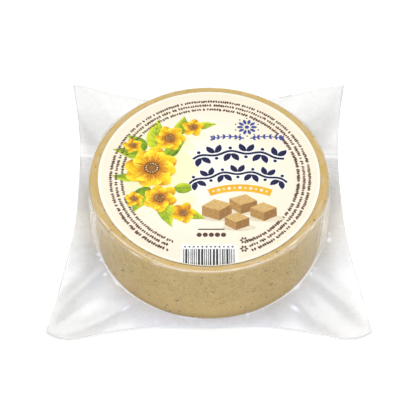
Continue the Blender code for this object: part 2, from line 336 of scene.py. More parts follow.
class Nodes:
    """Short ways to add and join the nodes of one material."""

    def __init__(self, name):
        self.material = bpy.data.materials.new(name)
        self.material.use_nodes = True
        self.tree = self.material.node_tree
        self.shader = self.tree.nodes["Principled BSDF"]
        self.output = self.tree.nodes["Material Output"]
        self.place = self.add("ShaderNodeTexCoord").outputs["Object"]

    def add(self, kind, **values):
        node = self.tree.nodes.new(kind)
        for name, value in values.items():
            node.inputs[name].default_value = value
        return node

    def join(self, start, end):
        self.tree.links.new(start, end)

    def noise(self, scale, detail=3.0, roughness=0.55, place=None):
        node = self.add("ShaderNodeTexNoise", Scale=scale, Detail=detail, Roughness=roughness)
        self.join(place or self.place, node.inputs["Vector"])
        return node.outputs["Fac"]

    def shifted(self, offset):
        """The object's coordinates moved by an offset, for noise of another draw."""
        node = self.add("ShaderNodeVectorMath")
        self.join(self.place, node.inputs[0])
        node.inputs[1].default_value = (offset, offset, offset)
        return node.outputs["Vector"]

    def ramp(self, value, low, high, out_low=0.0, out_high=1.0):
        ends = {"From Min": low, "From Max": high, "To Min": out_low, "To Max": out_high}
        node = self.add("ShaderNodeMapRange", **ends)
        self.join(value, node.inputs["Value"])
        return node.outputs["Result"]

    def math(self, operation, first, second):
        node = self.add("ShaderNodeMath")
        node.operation = operation
        for socket, value in zip(node.inputs, (first, second)):
            if isinstance(value, (int, float)):
                socket.default_value = value
            else:
                self.join(value, socket)
        return node.outputs["Value"]

    def mix(self, factor, first, second):
        node = self.add("ShaderNodeMix")
        node.data_type = "RGBA"
        self.join(factor, node.inputs["Factor"])
        for key, value in (("A", first), ("B", second)):
            socket = [item for item in node.inputs if item.identifier == f"{key}_Color"][0]
            if isinstance(value, tuple):
                socket.default_value = (*value, 1.0)
            else:
                self.join(value, socket)
        return [item for item in node.outputs if item.identifier == "Result_Color"][0]

    def axes(self):
        """The object's coordinates, split by axis."""
        node = self.add("ShaderNodeSeparateXYZ")
        self.join(self.place, node.inputs["Vector"])
        return node.outputs

    def attribute(self, name):
        """What the mesh's points carry under a name."""
        node = self.add("ShaderNodeAttribute")
        node.attribute_name = name
        return node.outputs

    def distance(self, axes, centre, scale):
        """Distance in X and Y from a centre, each way stretched by a scale."""
        squares = []
        for axis, middle, stretch in zip("XY", centre, scale):
            off = self.math("SUBTRACT", axes[axis], middle)
            squares.append(self.math("POWER", self.math("MULTIPLY", off, stretch), 2.0))
        return self.math("SQRT", self.math("ADD", *squares), 0.0)

    def bump(self, height, strength, distance):
        node = self.add("ShaderNodeBump", Strength=strength, Distance=distance)
        self.join(height, node.inputs["Height"])
        return node.outputs["Normal"]

    def surface(self, roughness, specular, colour=None, normal=None):
        self.shader.inputs["Roughness"].default_value = roughness
        self.shader.inputs["Specular IOR Level"].default_value = specular
        for name, value in (("Base Color", colour), ("Normal", normal)):
            if value is not None:
                self.join(value, self.shader.inputs[name])


def floor_material():
    nodes = Nodes("studio_floor")
    nodes.shader.inputs["Base Color"].default_value = (0.97, 0.97, 0.97, 1.0)
    nodes.surface(0.9, 0.1)
    nodes.shader.inputs["Emission Color"].default_value = (1.0, 1.0, 1.0, 1.0)
    nodes.shader.inputs["Emission Strength"].default_value = 0.18
    return nodes.material


def halva_material():
    """Pressed halva: pale tan, finely mottled, with darker specks and faint fibres."""
    nodes = Nodes("halva")
    mottle = nodes.ramp(nodes.noise(220.0, 4.0), 0.35, 0.68)
    colour = nodes.mix(mottle, (0.440, 0.300, 0.088), (0.555, 0.392, 0.130))
    broad = nodes.ramp(nodes.noise(38.0, 2.0), 0.3, 0.7)
    colour = nodes.mix(nodes.math("MULTIPLY", broad, 0.22), colour, (0.49, 0.345, 0.120))
    grain = nodes.ramp(nodes.noise(900.0, 2.0, 0.7), 0.42, 0.58)
    colour = nodes.mix(nodes.math("MULTIPLY", grain, 0.50), colour, (0.66, 0.49, 0.185))
    dark = nodes.ramp(nodes.noise(700.0, 2.0, 0.7, nodes.shifted(3.0)), 0.56, 0.66)
    colour = nodes.mix(nodes.math("MULTIPLY", dark, 0.35), colour, (0.28, 0.18, 0.062))
    height = nodes.axes()["Z"]
    top = nodes.ramp(height, 35.8 * MM, 37.6 * MM)
    colour = nodes.mix(nodes.math("MULTIPLY", top, 0.85), colour, (0.595, 0.402, 0.098))
    # Painted light: the side's colour grows lighter towards its foot, standing in for light that the lower
    # side lacks.
    foot = nodes.ramp(height, 1.0 * MM, 20.0 * MM, 0.45, 0.0)
    colour = nodes.mix(foot, colour, (0.84, 0.60, 0.25))
    for size, low, high, tone in SPECKS:
        spot = nodes.ramp(nodes.noise(size, 0.0, 0.5, nodes.shifted(size)), low, high)
        colour = nodes.mix(nodes.math("MULTIPLY", spot, 0.7), colour, tone)
    nodes.surface(0.62, 0.35, colour, nodes.bump(nodes.noise(900.0, 4.0), 0.5, 0.0004))
    nodes.shader.inputs["Subsurface Weight"].default_value = 0.08
    nodes.shader.inputs["Subsurface Radius"].default_value = (1.0, 0.6, 0.3)
    nodes.shader.inputs["Subsurface Scale"].default_value = 0.0012
    return nodes.material


def film_material():
    """Clear film: light passes straight through but for a milky share and a thin gloss."""
    nodes = Nodes("clear_film")
    ripple = nodes.bump(nodes.noise(90.0, 2.0), 0.15, 0.0005)
    # The milky share's colour is painted: the light, shade and warmth stored on the points.
    nodes.surface(0.4, 0.3, nodes.attribute("painted_light_tint")["Color"], ripple)

    clear = nodes.add("ShaderNodeBsdfTransparent", Color=(0.985, 0.987, 0.985, 1.0))
    grain = nodes.ramp(nodes.noise(300.0, 3.0), 0.3, 0.7, 0.9, 1.1)
    body = nodes.add("ShaderNodeMixShader")
    nodes.join(nodes.math("MULTIPLY", nodes.attribute("milk")["Fac"], grain), body.inputs["Fac"])
    nodes.join(clear.outputs["BSDF"], body.inputs[1])
    nodes.join(nodes.shader.outputs["BSDF"], body.inputs[2])

    gloss = nodes.add("ShaderNodeBsdfGlossy", Color=(1.0, 1.0, 1.0, 1.0), Roughness=0.24)
    nodes.join(ripple, gloss.inputs["Normal"])
    facing = nodes.add("ShaderNodeLayerWeight", Blend=0.5)
    nodes.join(ripple, facing.inputs["Normal"])
    glance = nodes.math("POWER", facing.outputs["Facing"], 5.0)
    sheet = nodes.add("ShaderNodeMixShader")
    nodes.join(nodes.ramp(glance, 0.0, 1.0, 0.035, 0.5), sheet.inputs["Fac"])
    nodes.join(body.outputs["Shader"], sheet.inputs[1])
    nodes.join(gloss.outputs["BSDF"], sheet.inputs[2])
    nodes.join(sheet.outputs["Shader"], nodes.output.inputs["Surface"])
    return nodes.material


def paper_material():
    """The label's coated paper: cream, washed yellow-green by the garland, paler at its rim."""
    nodes = Nodes("label_paper")
    axes = nodes.axes()
    rim = nodes.ramp(nodes.distance(axes, (0.0, 0.0), (1.0, 1.0)), 49.7 * MM, 50.1 * MM)
    cloud = nodes.ramp(nodes.noise(60.0, 2.0), 0.3, 0.7)
    ground = nodes.mix(cloud, (0.925, 0.845, 0.680), (0.935, 0.858, 0.700))
    glow = nodes.distance(axes, (-8.0 * MM, 2.0 * MM), (1.0, 0.8))
    glow = nodes.ramp(glow, 6.0 * MM, 34.0 * MM, 0.6, 0.0)
    ground = nodes.mix(glow, ground, (0.94, 0.92, 0.86))
    wash = nodes.distance(axes, (-21.0 * MM, 3.0 * MM), (1.25, 0.85))
    blot = nodes.ramp(nodes.noise(95.0, 3.0), 0.3, 0.7, -7.0 * MM, 7.0 * MM)
    wash = nodes.ramp(nodes.math("ADD", wash, blot), 16.0 * MM, 25.0 * MM, 0.55, 0.0)
    ground = nodes.mix(wash, ground, (0.82, 0.82, 0.36))
    ground = nodes.mix(rim, ground, (0.94, 0.91, 0.80))
    nodes.surface(0.5, 0.3, ground, nodes.bump(nodes.noise(700.0, 2.0), 0.05, 0.0002))
    return nodes.material


def ink_material(name, colour, deeper=None, scale=260.0):
    """Printed ink, mottled between two shades."""
    nodes = Nodes(name)
    if deeper is None:
        deeper = tuple(0.82 * part for part in colour)
    share = nodes.ramp(nodes.noise(scale, 3.0), 0.35, 0.65)
    nodes.surface(0.45, 0.3, nodes.mix(share, deeper, colour))
    return nodes.material


def shaded_ink(name, colours):
    """Printed ink from a dark to a pale colour by the shade that its points carry."""
    nodes = Nodes(name)
    blot = nodes.ramp(nodes.noise(480.0, 3.0), 0.3, 0.7, -0.18, 0.18)
    value = nodes.math("ADD", nodes.attribute("shade")["Fac"], blot)
    colour = nodes.mix(nodes.ramp(value, 0.0, 0.5), colours[0], colours[1])
    colour = nodes.mix(nodes.ramp(value, 0.5, 1.0), colour, colours[2])
    nodes.surface(0.45, 0.3, colour)
    return nodes.material


def add_piece(name, mesh, finish, node):
    """Link a mesh as a piece that stands for a CAD node."""
    piece = bpy.data.objects.new(name, mesh)
    bpy.context.scene.collection.objects.link(piece)
    mesh.materials.append(finish)
    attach(piece, BODY)
    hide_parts(node)


def grid_mesh(name, rows, low_pole, high_pole, turn_row=0):
    """A closed mesh of rings; rows is an array of ring, point and coordinate.

    Rings before turn_row run outwards and later ones run back over them. Their faces are
    split into triangles alike, so that two thin layers never cross.
    """
    count, around = rows.shape[:2]
    points = [tuple(point) for point in rows.reshape(-1, 3)]
    faces = []
    for row in range(count - 1):
        for column in range(around):
            following = (column + 1) % around
            first = row * around
            second = first + around
            if row < turn_row:
                faces.append((first + column, first + following, second + column))
                faces.append((first + following, second + following, second + column))
            elif turn_row:
                faces.append((first + column, first + following, second + following))
                faces.append((first + column, second + following, second + column))
            else:
                faces.append((first + column, first + following, second + following, second + column))
    for pole, row, turned in ((low_pole, 0, True), (high_pole, count - 1, False)):
        points.append(pole)
        tip = len(points) - 1
        for column in range(around):
            ends = (row * around + column, row * around + (column + 1) % around)
            faces.append((ends[1], ends[0], tip) if turned else (ends[0], ends[1], tip))
    mesh = bpy.data.meshes.new(name)
    mesh.from_pydata(points, [], faces)
    mesh.update()
    mesh.shade_smooth()
    return mesh


def ring_normals(rows):
    """Unit normals of a grid of rings, pointing outwards."""
    along = np.empty_like(rows)
    along[1:-1] = rows[2:] - rows[:-2]
    along[0] = rows[1] - rows[0]
    along[-1] = rows[-1] - rows[-2]
    around = np.roll(rows, -1, axis=1) - np.roll(rows, 1, axis=1)
    normals = np.cross(around, along)
    return normals / np.maximum(np.linalg.norm(normals, axis=2, keepdims=True), 1e-12)


def arc(centre_r, centre_z, radius, start, end, steps):
    """Points of a round stretch; the angle is measured from straight up, outwards."""
    points = []
    for step in range(steps + 1):
        angle = between(start, end, step / steps)
        points.append((centre_r + radius * sin(angle), centre_z + radius * cos(angle)))
    return points


def wall_radius(height):
    share = (height - BLOCK_BASE_Z) / (BLOCK_TOP_Z - BLOCK_BASE_Z)
    return between(BLOCK_BASE_RADIUS, BLOCK_TOP_RADIUS, min(max(share, 0.0), 1.0))


def halva_profile():
    """The block's half section from the middle of its base to the middle of its top."""
    points = [(radius * MM, BLOCK_BASE_Z) for radius in BASE_RADII]
    corner_r = BLOCK_BASE_RADIUS - BASE_ROUNDING
    corner_z = BLOCK_BASE_Z + BASE_ROUNDING
    points += arc(corner_r, corner_z, BASE_ROUNDING, pi, pi / 2, 5)
    rim_z = BLOCK_TOP_Z - RIM_ROUNDING
    for row in range(1, BLOCK_SIDE_ROWS):
        height = between(corner_z, rim_z, row / BLOCK_SIDE_ROWS)
        points.append((wall_radius(height), height))
    points += arc(BLOCK_TOP_RADIUS - RIM_ROUNDING, rim_z, RIM_ROUNDING, pi / 2, 0.0, RIM_STEPS)
    points += [(radius * MM, BLOCK_TOP_Z) for radius in TOP_RADII]
    return points


def halva_depth(place):
    """How far the pressed surface lies under its even form at a place."""
    spot = Vector(place)
    swell = 0.5 + 0.5 * noise.noise(spot * 75.0)
    lumps = 0.5 + 0.5 * noise.noise(spot * 330.0 + Vector((3.0, 1.0, 7.0)))
    pits = max(noise.noise(spot * 560.0 + Vector((9.0, 2.0, 4.0))) - 0.42, 0.0)
    return (0.22 * swell + 0.05 * lumps + 2.0 * pits) * MM


def make_halva():
    profile = halva_profile()
    rows = np.empty((len(profile), BLOCK_COLUMNS, 3))
    angles = np.arange(BLOCK_COLUMNS) * 2.0 * pi / BLOCK_COLUMNS
    for row, (radius, height) in enumerate(profile):
        rows[row, :, 0] = radius * np.cos(angles)
        rows[row, :, 1] = radius * np.sin(angles)
        rows[row, :, 2] = height
    normals = ring_normals(rows)
    depth = np.array([[halva_depth(point) for point in ring] for ring in rows])
    rows -= normals * depth[:, :, None]
    mesh = grid_mesh(
        "halva_block_surface", rows, (0.0, 0.0, BLOCK_BASE_Z), (0.0, 0.0, BLOCK_TOP_Z)
    )
    add_piece("halva_block_surface", mesh, halva_material(), "halva_block")


def smooth_through(points, share):
    """Point of a smooth curve through a row of points, by share of its chord length."""
    spots = [Vector(point) * MM for point in points]
    marks = [0.0]
    for first, second in zip(spots, spots[1:]):
        marks.append(marks[-1] + (second - first).length)
    target = share * marks[-1]
    last = len(spots) - 1
    index = 0
    while index < last - 1 and marks[index + 1] < target:
        index += 1

    def slope(at):
        low = max(at - 1, 0)
        high = min(at + 1, last)
        return (spots[high] - spots[low]) / (marks[high] - marks[low])

    span = marks[index + 1] - marks[index]
    local = (target - marks[index]) / span
    square = local * local
    cube = square * local
    return (
        spots[index] * (2.0 * cube - 3.0 * square + 1.0)
        + slope(index) * span * (cube - 2.0 * square + local)
        + spots[index + 1] * (3.0 * square - 2.0 * cube)
        + slope(index + 1) * span * (cube - square)
    )


def weld_line():
    """Points round the pouch's edge, closest together at its corners."""
    points = []
    for edge in (FRONT_EDGE, RIGHT_EDGE, BACK_EDGE, LEFT_EDGE):
        for step in range(SIDE_STEPS):
            even = step / SIDE_STEPS
            share = between(even, 0.5 - 0.5 * cos(pi * even), 0.8)
            points.append(smooth_through(edge, share))
    return points


def turn_from(direction, angle):
    """Degrees from a direction in degrees to an angle in radians, from -180 to 180."""
    return (degrees(angle) - direction + 180.0) % 360.0 - 180.0


def tent_share(angle):
    """1 in the middle of a tent, and 0 where the film lies on the halva's side."""
    return max(
        size * (1.0 - smooth_step(0.0, half, abs(turn_from(way, angle)))) for way, half, size in TENTS
    )


def valley_share(angle, share):
    """1 along the bottom of an ear's valleys, and 0 between them."""
    total = 0.0
    for foot_way, edge_way, width, depth in EAR_VALLEYS:
        total += depth * bell(turn_from(between(foot_way, edge_way, share), angle) / width)
    return min(total, 1.0)


def pucker(angle, run):
    """Height in mm of the short puckers, at a distance in mm from the ear's foot."""
    total = 0.0
    for way, skew, width, start, length, height in PUCKERS:
        turn = turn_from(way + skew * (run - start - length / 2), angle) / width
        along = (run - start - length / 2) / (length / 2)
        if abs(turn) < 3.0 and abs(along) < 2.5:
            total += height * bell(turn) * bell(along)
    return total


def streak(angle, across, count, stretch, seed):
    """Soft noise drawn out along or across the film's run."""
    return noise.noise(Vector((count * cos(angle), count * sin(angle), stretch * across + seed)))


class FilmPoint:
    """A point of the film's half section: how milky it is, and the painted light, shade and warmth of its
    milky colour there.
    """

    def __init__(self, radius, height, milk, light, warm=0.0):
        self.radius = radius
        self.height = height
        self.milk = milk
        self.light = light
        self.warm = warm

    def moved(self, radius, height):
        return FilmPoint(radius, height, self.milk, self.light, self.warm)

    def painted_light_tint(self):
        colour = (1.0, between(0.995, 0.93, self.warm), between(0.995, 0.76, self.warm))
        return [self.light * part for part in colour] + [1.0]


def ear_point(angle, edge_point, foot, share):
    """A point of the upper sheet between the ear's foot and its edge."""
    edge_radius = hypot(edge_point.x, edge_point.y)
    foot_radius, foot_z = foot
    radius = between(foot_radius, edge_radius, share)
    run = (radius - foot_radius) / MM
    reach = smooth_step(*FOLD_REACH, edge_radius)
    valley = valley_share(angle, share)
    fade = reach * sin(pi * FOLD_FADE * share)
    height = between(foot_z, edge_point.z, share) + (FOLD_RISE - FOLD_DEPTH * valley) * fade
    soft = streak(angle, share, 3.5, 0.9, 2.0)
    height += 0.25 * fade * soft * MM
    side = smooth_step(0.75, 0.85, abs(cos(angle)))
    fold = side * bell((radius * sin(angle) - CREASE_Y) / CREASE_WIDTH)
    lift = pucker(angle, run) + 0.15 * fold
    height += lift * MM
    height = max(height, SHEET_GAP + FLOOR_CLEARANCE)

    # Painted light and shade in the milky colour: darker beside the block, in the valleys, in the shade folds
    # and behind the block; lighter along soft crests, at the front and towards the back. More milk beside the
    # block and at the front hides the shadow seen through the film.
    shade = np.interp(degrees(angle) % 360.0, *zip(*FOOT_SHADE))
    near = 1.0 - smooth_step(0.0, FOOT_SHADE_REACH, run)
    front = 1.0 - smooth_step(*FRONT_REACH, abs(turn_from(FRONT, angle)))
    fine = streak(angle, share, 13.0, 1.0, 5.0)
    light = EAR_LIGHT + 0.03 * share + 0.04 * soft * reach + 0.025 * fine - shade * near
    light -= 0.08 * valley * reach * (1.0 - smooth_step(0.65, 1.0, share))
    light -= 0.03 * smooth_step(0.5, 1.0, share) * (1.0 - front)
    way, wide, darker = REAR_SHADE
    light -= darker * bell(turn_from(way, angle) / wide) * (1.0 - smooth_step(*REAR_SHADE_REACH, run))
    for way, wide, begin, darker in SHADE_FOLDS:
        begun = smooth_step(begin - 0.1, begin + 0.1, share)
        light -= darker * begun * bell(turn_from(way, angle) / wide)
    marks, left, right = zip(*BACK_LIGHT)
    rightward = smooth_step(-30.0, 30.0, radius * cos(angle) / MM)
    behind = radius * sin(angle) / MM
    left, right = (np.interp(behind, marks, lights) for lights in (left, right))
    light += FRONT_LIGHT * front + between(left, right, rightward)
    edge_on = 1.0 - smooth_step(64.0 * MM, 80.0 * MM, edge_radius)
    back = smooth_step(30.0, 60.0, behind)
    milk = EAR_MILK + 0.05 * share + (0.14 + 0.16 * edge_on) * near
    milk += 0.04 * valley + 0.14 * front + 0.10 * back
    # Painted glint: a pucker's top turns to a white, cool milky colour with its light above 1.
    pucker_glint = min(lift / PUCKER_FULL, 1.0)
    light = between(light, PUCKER_LIGHT, pucker_glint)
    milk = between(milk, PUCKER_MILK, pucker_glint)
    # Painted colour shift: cooler at the front, on glints and beside the block's front half, against the warm
    # light that the halva bounces onto the floor seen through the film.
    cool = smooth_step(0.1, 0.5, -sin(angle)) * (1.0 - smooth_step(5.0, 30.0, run)) * (1.0 - front)
    return FilmPoint(radius, height, milk, light, 0.05 * near - 0.7 * front - 0.5 * pucker_glint - 0.45 * cool)


def crease_milk(angle, down):
    """Milk of the pale creases at a distance in mm down the film from the label's edge."""
    total = 0.0
    way = degrees(angle) % 360.0
    for index, (milk, width, line) in enumerate(CREASES):
        along = (way - line[0][0]) / (line[-1][0] - line[0][0])
        if 0.0 < along < 1.0:
            off = (down - np.interp(way, *zip(*line))) / width
            uneven = 0.8 + 0.6 * streak(angle, 0.0, 11.0, 1.0, 40.0 + index)
            total += max(milk * uneven, 0.0) * sin(pi * along) ** 0.5 * bell(off)
    return total


def rim_point(angle, radius, height, down):
    """A point of the film on the halva's rim, with pale wrinkle streaks in its milk, partly the film's
    wrinkles and partly painted highlights. Its milky colour gets a painted reflection of the halva's colour.
    """
    wrinkle_glint = max(streak(angle, down, 9.0, 1.3, 61.0), 0.0)
    fade = smooth_step(0.0, 1.0, down)
    return FilmPoint(radius, height, 0.04 + (0.35 * wrinkle_glint + crease_milk(angle, down)) * fade, 1.0, 0.6)


def wall_point(angle, start, foot, tent, share):
    """A point of the film between the halva's rim and the ear's foot."""
    foot_radius, foot_z = foot
    middle = sin(pi * share)
    height = between(start[1], foot_z, share)
    lean = 0.3 * streak(angle, share, 2.5, 1.0, 31.0)
    pleat = max(streak(angle + lean * share, share, 22.0, 1.4, 11.0), 0.0) * middle ** 0.4
    out = TENT_BULGE * tent + tent * middle * 1.2 * pleat * MM
    ripple = max(streak(angle, share, 12.0, 3.0, 17.0), 0.0)
    out += 0.10 * middle * ripple * MM
    radius = max(between(start[0], foot_radius, share) + out, wall_radius(height) + FILM_OFFSET)
    off_front = abs(turn_from(FRONT, angle))
    band = smooth_step(60.0, 67.0, off_front)
    haze = smooth_step(35.0, 60.0, off_front)
    milk = 0.02 + 0.03 * ripple + 0.08 * haze + band * (0.14 + 0.6 * pleat)
    milk += crease_milk(angle, RIM_DOWN + (start[1] - height) / MM)
    # Painted highlight on the pleats' crests, and a painted reflection of the halva's colour in the milky
    # colour.
    return FilmPoint(radius, height, min(milk, 0.6), 0.76 + 0.4 * pleat, 0.95)


def film_column(edge_point):
    """One half section of the film from the base's middle, round the ear, to the top's middle."""
    angle = atan2(edge_point.y, edge_point.x)
    tent = tent_share(angle)
    foot = (
        FOOT_RADIUS + TENT_SPREAD * tent,
        FOOT_HEIGHT + TENT_HEIGHT * tent + EDGE_LIFT_SHARE * edge_point.z,
    )
    shares = [0.015] + [step / EAR_ROWS for step in range(1, EAR_ROWS + 1)]
    ear = [ear_point(angle, edge_point, foot, share) for share in shares]

    rim_r = BLOCK_TOP_RADIUS - RIM_ROUNDING
    rim_z = BLOCK_TOP_Z - RIM_ROUNDING
    leave = between(STEEPEST_LEAVE, TENT_LEAVE, tent)
    rim = arc(rim_r, rim_z, RIM_ROUNDING + FILM_OFFSET, 0.0, leave, RIM_STEPS)
    over_rim = []
    for step, (radius, height) in enumerate(rim):
        down = between(RIM_DOWN - 2.6, RIM_DOWN, step / RIM_STEPS)
        over_rim.append(rim_point(angle, radius, height, down))
    start = (over_rim[-1].radius, over_rim[-1].height)
    wall = [
        wall_point(angle, start, foot, tent, (step / WALL_ROWS) ** 1.4) for step in range(1, WALL_ROWS)
    ]
    wall.append(wall_point(angle, start, foot, tent, 0.985))
    # Painted highlight: a whiter line where the film turns from the wall into the ear, brightest away from
    # the front, its light above 1.
    off_front = abs(turn_from(FRONT, angle))
    foot_highlight = smooth_step(12.0, 35.0, off_front) * (1.0 - smooth_step(66.0, 80.0, off_front))
    turn = FilmPoint(*foot, between(0.30, 0.95, foot_highlight), between(1.0, 1.3, foot_highlight), -0.4)
    path = wall + [turn] + ear[:-1]
    smooth = [
        here.moved(
            0.25 * before.radius + 0.5 * here.radius + 0.25 * after.radius,
            0.25 * before.height + 0.5 * here.height + 0.25 * after.height,
        )
        for before, here, after in zip(path, path[1:], path[2:])
    ]
    path = [path[0]] + smooth + [path[-1]]
    under = []
    for share, point in zip(shares, path[len(wall) + 1:] + [ear[-1]]):
        gap = SHEET_GAP * between(1.0, 0.5, share)
        under.append(point.moved(point.radius, max(point.height - gap, 0.0)))

    column = [FilmPoint(radius * MM, 0.0, 0.06, 0.85) for radius in (25.0, 45.0, 51.0)]
    column += [FilmPoint(BASE_FLAT_RADIUS, 0.0, 0.06, 0.85), FilmPoint(*BASE_TURN, 0.10, 0.85)]
    rise = under[0]
    column += [
        FilmPoint(
            between(BASE_TURN[0], rise.radius, share), between(BASE_TURN[1], rise.height, share), 0.10, 0.8
        )
        for share in (0.35, 0.7)
    ]
    column += under
    column += [ear[-1]]
    column += reversed(path)
    column += reversed(over_rim)
    for radius in FILM_TOP_RADII:
        column.append(rim_point(angle, radius * MM, FILM_TOP_Z, radius - LABEL_EDGE))
    column += [FilmPoint(radius * MM, FILM_TOP_Z, 0.03, 1.0) for radius in (50.0, 35.0, 18.0)]
    return angle, column


def make_film():
    """The pouch as one closed sheet; milkiness and the painted light, shade and warmth of its milky colour
    are stored on its points.
    """
    columns = [film_column(point) for point in weld_line()]
    rows = np.array(
        [
            [(spot.radius * cos(angle), spot.radius * sin(angle), spot.height) for spot in column]
            for angle, column in columns
        ]
    ).transpose(1, 0, 2)
    edge_row = max(range(len(rows)), key=lambda row: np.hypot(rows[row, :, 0], rows[row, :, 1]).sum())
    mesh = grid_mesh("film_pouch_sheet", rows, (0.0, 0.0, 0.0), (0.0, 0.0, FILM_TOP_Z), edge_row)
    mesh.set_sharp_from_angle(angle=radians(100.0))
    spots = [column[row] for row in range(len(rows)) for _, column in columns]
    spots += [columns[0][1][0], columns[0][1][-1]]
    milk = mesh.attributes.new("milk", "FLOAT", "POINT")
    milk.data.foreach_set("value", [spot.milk for spot in spots])
    painted_light_tint = mesh.attributes.new("painted_light_tint", "FLOAT_COLOR", "POINT")
    painted_light_tint.data.foreach_set("color", [part for spot in spots for part in spot.painted_light_tint()])
    add_piece("film_pouch_sheet", mesh, film_material(), "film_pouch")


def disc_mesh(name, radius, low, high):
    inner = radius - LABEL_BEVEL
    profile = [(inner, low), (radius, low + LABEL_BEVEL), (radius, high - LABEL_BEVEL), (inner, high)]
    angles = np.arange(LABEL_STEPS) * 2.0 * pi / LABEL_STEPS
    rows = np.array([[(r * cos(a), r * sin(a), z) for a in angles] for r, z in profile])
    return grid_mesh(name, rows, (0.0, 0.0, low), (0.0, 0.0, high))


class Print:
    """Inked shapes on the label, each a thin closed plate along a spine; sizes in mm.

    Every plate lies a little higher than the one before it, so that no two share a plane.
    Its points carry a shade for the material: how far along they lie, changed at the sides.
    """

    def __init__(self, name, finish, level):
        self.name = name
        self.finish = finish
        self.shape = bmesh.new()
        self.shade = self.shape.verts.layers.float.new("shade")
        self.high = LABEL_TOP + INK_STEP * level
        self.count = 0

    def corner(self, place, height, shade):
        vertex = self.shape.verts.new((place[0] * MM, place[1] * MM, height))
        vertex[self.shade] = shade
        return vertex

    def next_height(self):
        self.count += 1
        return self.high + PLATE_STEP * (self.count % PLATE_CYCLE)

    def strip(self, spine, halves, shades=(0.5, 0.5), sides=(0.0, 0.0)):
        """Add a plate along the spine; sides are what the shade gains to the left and right."""
        high = self.next_height()
        last = len(spine) - 1
        sections = []
        for index, (place, half) in enumerate(zip(spine, halves)):
            before = spine[max(index - 1, 0)]
            after = spine[min(index + 1, last)]
            along = (after[0] - before[0], after[1] - before[1])
            size = hypot(*along) / max(half, 0.02)
            left = (place[0] - along[1] / size, place[1] + along[0] / size)
            right = (place[0] + along[1] / size, place[1] - along[0] / size)
            shade = between(*shades, index / last)
            sections.append(
                (
                    self.corner(left, high, shade + sides[0]),
                    self.corner(place, high, shade),
                    self.corner(right, high, shade + sides[1]),
                    self.corner(right, INK_LOW, shade),
                    self.corner(left, INK_LOW, shade),
                )
            )
        for here, there in zip(sections, sections[1:]):
            for edge in range(5):
                following = (edge + 1) % 5
                self.shape.faces.new((here[following], there[following], there[edge], here[edge]))
        self.shape.faces.new(sections[0])
        self.shape.faces.new(sections[-1][::-1])

    def quad(self, corners):
        """A flat plate with four corners, given counterclockwise."""
        high = self.next_height()
        over = [self.corner(place, high, 0.5) for place in corners]
        under = [self.corner(place, INK_LOW, 0.5) for place in corners]
        self.shape.faces.new(over)
        self.shape.faces.new(under[::-1])
        for index in range(4):
            following = (index + 1) % 4
            self.shape.faces.new((under[index], under[following], over[following], over[index]))

    def disc(self, place, width, height, shade=0.5, steps=12):
        """An oval as a strip along its width."""
        spine = [(place[0] + width * (2.0 * share - 1.0), place[1]) for share in eased_shares(steps)]
        halves = [height * sin(pi * step / steps) for step in range(steps + 1)]
        self.strip(spine, halves, (shade, shade))

    def finish_piece(self):
        mesh = bpy.data.meshes.new(self.name)
        self.shape.to_mesh(mesh)
        self.shape.free()
        add_piece(self.name, mesh, self.finish, "label")


def finish_pieces(*pieces):
    for piece in pieces:
        piece.finish_piece()


def sprig(place, heading, length, bend, steps=10):
    """Points of a curved line whose heading turns evenly by the bend, close at both ends."""
    shares = eased_shares(steps)
    x, y = place
    points = [place]
    for before, share in zip(shares, shares[1:]):
        turn = heading + bend * (before + share) / 2
        x += length * (share - before) * cos(turn)
        y += length * (share - before) * sin(turn)
        points.append((x, y))
    return points


def round_halves(width, lean=1.2, fullness=0.6, steps=10):
    """Half widths of a petal or seed: round at its tip, fuller towards it as lean grows."""
    inner = [width * sin(pi * share ** lean) ** fullness for share in eased_shares(steps)[1:-1]]
    return [0.0, *inner, 0.0]


def leaf_halves(width):
    """Half widths of a pointed leaf, widest nearer its stalk."""
    return [width * sin(pi * share ** 0.72) * (1.12 - 0.3 * share) for share in eased_shares(10)]


def around(centre, radius, angle):
    return (centre[0] + radius * cos(angle), centre[1] + radius * sin(angle))


def make_ring_marks():
    """Three rings of small brown seeds."""
    draw = random.Random(11)
    finish = ink_material("brown_ink", (0.080, 0.032, 0.020), (0.18, 0.090, 0.058))
    seeds = Print("label_ring_seeds", finish, 1)
    for radius, bold_from, bold_to in RINGS:
        angle, end = (radians(way) for way in RING_ENDS)
        while angle < end:
            bold = bold_from < degrees(angle) < bold_to
            size = (1.12 if bold else 1.0) * draw.uniform(0.85, 1.15)
            tilt = angle + draw.uniform(-0.5, 0.5) + draw.choice((0.0, pi))
            place = around(RING_CENTRE, radius + draw.uniform(-0.12, 0.12), angle)
            start = around(place, -0.78 * size, tilt)
            spine = sprig(start, tilt, 1.56 * size, 0.0, 5)
            seeds.strip(spine, round_halves(0.50 * size, 1.15, 0.7, 5), (draw.random(), draw.random()))
            angle += (draw.uniform(1.0, 1.3) + (0.8 if draw.random() < 0.13 else 0.0)) / radius
    seeds.finish_piece()


def add_leaf(leaves, veins, place, heading, length, width, bend, tone):
    """A leaf with one side darker, a midrib and side veins."""
    spine = sprig(place, heading, length, bend)
    halves = leaf_halves(width)
    leaves.strip(spine, halves, (tone - 0.15, tone + 0.15), (0.30, -0.30))
    veins.strip(spine[:-1], [0.16 - 0.012 * step for step in range(10)], (0.2, 0.7))
    for index in (3, 4, 5, 6):
        share = index / 10
        for side in (1.0, -1.0):
            turn = heading + bend * share + side * 0.75
            vein = sprig(spine[index], turn, 0.95 * halves[index], -0.3 * side, 3)
            veins.strip(vein, [0.10, 0.09, 0.07, 0.03], (0.3, 0.9))


